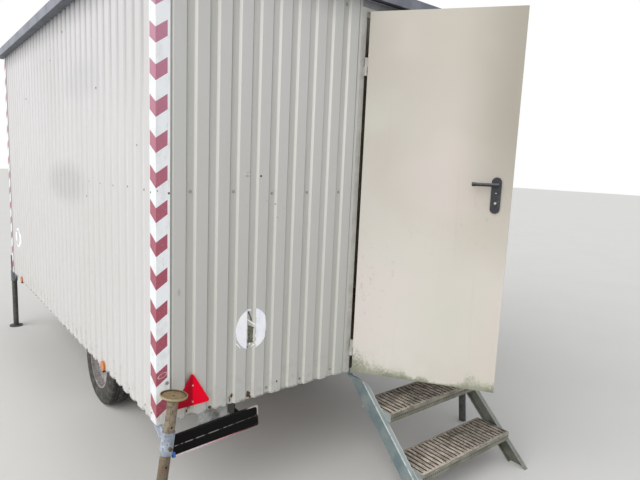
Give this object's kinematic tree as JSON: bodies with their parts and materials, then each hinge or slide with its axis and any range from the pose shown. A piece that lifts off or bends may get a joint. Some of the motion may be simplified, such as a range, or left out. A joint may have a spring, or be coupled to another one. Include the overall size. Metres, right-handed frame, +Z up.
{
  "type": "portable site cabin",
  "caption": "Towable site cabin on wheels with ribbed steel walls, an open steel door with a lever handle, a two-step stair, corner props and an A-frame drawbar.",
  "frame": {"origin": "on the ground, under the middle of the overall length and width", "axes": "+Z up, +Y along the length towards the drawbar, the door end faces -Y, +X to the right of someone who faces the door end"},
  "size_m": [2.3124, 5.7204, 2.686],
  "materials": {
    "sheet_paint": "weathered off-white paint on profiled steel",
    "wall_lining": "pale faced board",
    "trim_paint": "white with dull red chevrons",
    "chassis_paint": "dark weathered chassis paint",
    "floor_board": "worn brown plywood",
    "roof_metal": "grey coated steel",
    "bracket_paint": "pale blue-grey paint with rust spots",
    "rusty_steel": "rusty galvanised tube",
    "frame_paint": "grey-white paint",
    "door_paint": "cream paint with algae at the foot",
    "hinge_steel": "pale worn zinc",
    "galvanised": "weathered galvanised steel",
    "rim_paint": "pale grey wheel paint",
    "tyre_rubber": "aged black rubber",
    "black_plastic": "anthracite plastic",
    "red_reflector": "red moulded reflector",
    "amber_reflector": "amber moulded reflector",
    "carrier_plastic": "pale weathered plastic",
    "plate_face": "blank dark face"
  },
  "bodies": {
    "root": {"left_side_sheet": "sheet_paint", "right_side_sheet": "sheet_paint", "door_end_sheet": "sheet_paint", "drawbar_end_sheet": "sheet_paint", "left_wall_panel": "wall_lining", "right_wall_panel": "wall_lining", "door_end_panel": "wall_lining", "drawbar_end_panel": "wall_lining", "corner_trims": "trim_paint", "side_sills": "chassis_paint", "end_sills": "chassis_paint", "floor_joists": "chassis_paint", "floor_panel": "floor_board", "chassis_rails": "chassis_paint", "drawbar_arms": "chassis_paint", "drawbar_head": "chassis_paint", "tow_eye": "chassis_paint", "axle": "chassis_paint", "roof_panel": "wall_lining", "roof_sheet": "roof_metal", "roof_fascia": "roof_metal", "prop_brackets": "bracket_paint", "prop_pins": "rusty_steel", "prop_legs": "rusty_steel", "door_frame": "frame_paint", "drip_rail": "roof_metal", "hinge_pins": "hinge_steel", "stair_stringer_left": "galvanised", "stair_stringer_right": "galvanised", "stair_tread_upper": "galvanised", "stair_tread_lower": "galvanised", "triangle_reflector": "red_reflector", "side_reflectors": "amber_reflector", "reflector_tabs": "rusty_steel", "plate_hanger": "galvanised", "plate_carrier": "carrier_plastic", "blank_plates": "plate_face"},
    "door": {"door_leaf": "door_paint", "hinge_barrels": "hinge_steel", "lock_plates": "black_plastic"},
    "lever": {"lever_handle": "black_plastic"},
    "left_wheel": {"left_tyre": "tyre_rubber", "left_rim": "rim_paint"},
    "right_wheel": {"right_tyre": "tyre_rubber", "right_rim": "rim_paint"}
  },
  "joints": [
    {"name": "door_hinge", "type": "hinge", "parent": "root", "child": "door", "pos_m": [0.0585, -2.20275, 1.58], "axis": [0, 0, -1], "range_deg": [-55, 65]},
    {"name": "lever_turn", "type": "hinge", "parent": "door", "child": "lever", "pos_m": [0.47999, -2.77681, 1.695], "axis": [-0.8192, -0.5736, 0], "range_deg": [0, 40], "stiffness_Nm_per_rad": 1.2, "springref_deg": -28.65},
    {"name": "left_wheel_spin", "type": "hinge", "parent": "root", "child": "left_wheel", "pos_m": [-0.8025, -0.58475, 0.31], "axis": [1, 0, 0], "continuous": true},
    {"name": "right_wheel_spin", "type": "hinge", "parent": "root", "child": "right_wheel", "pos_m": [0.8025, -0.58475, 0.31], "axis": [1, 0, 0], "continuous": true}
  ]
}
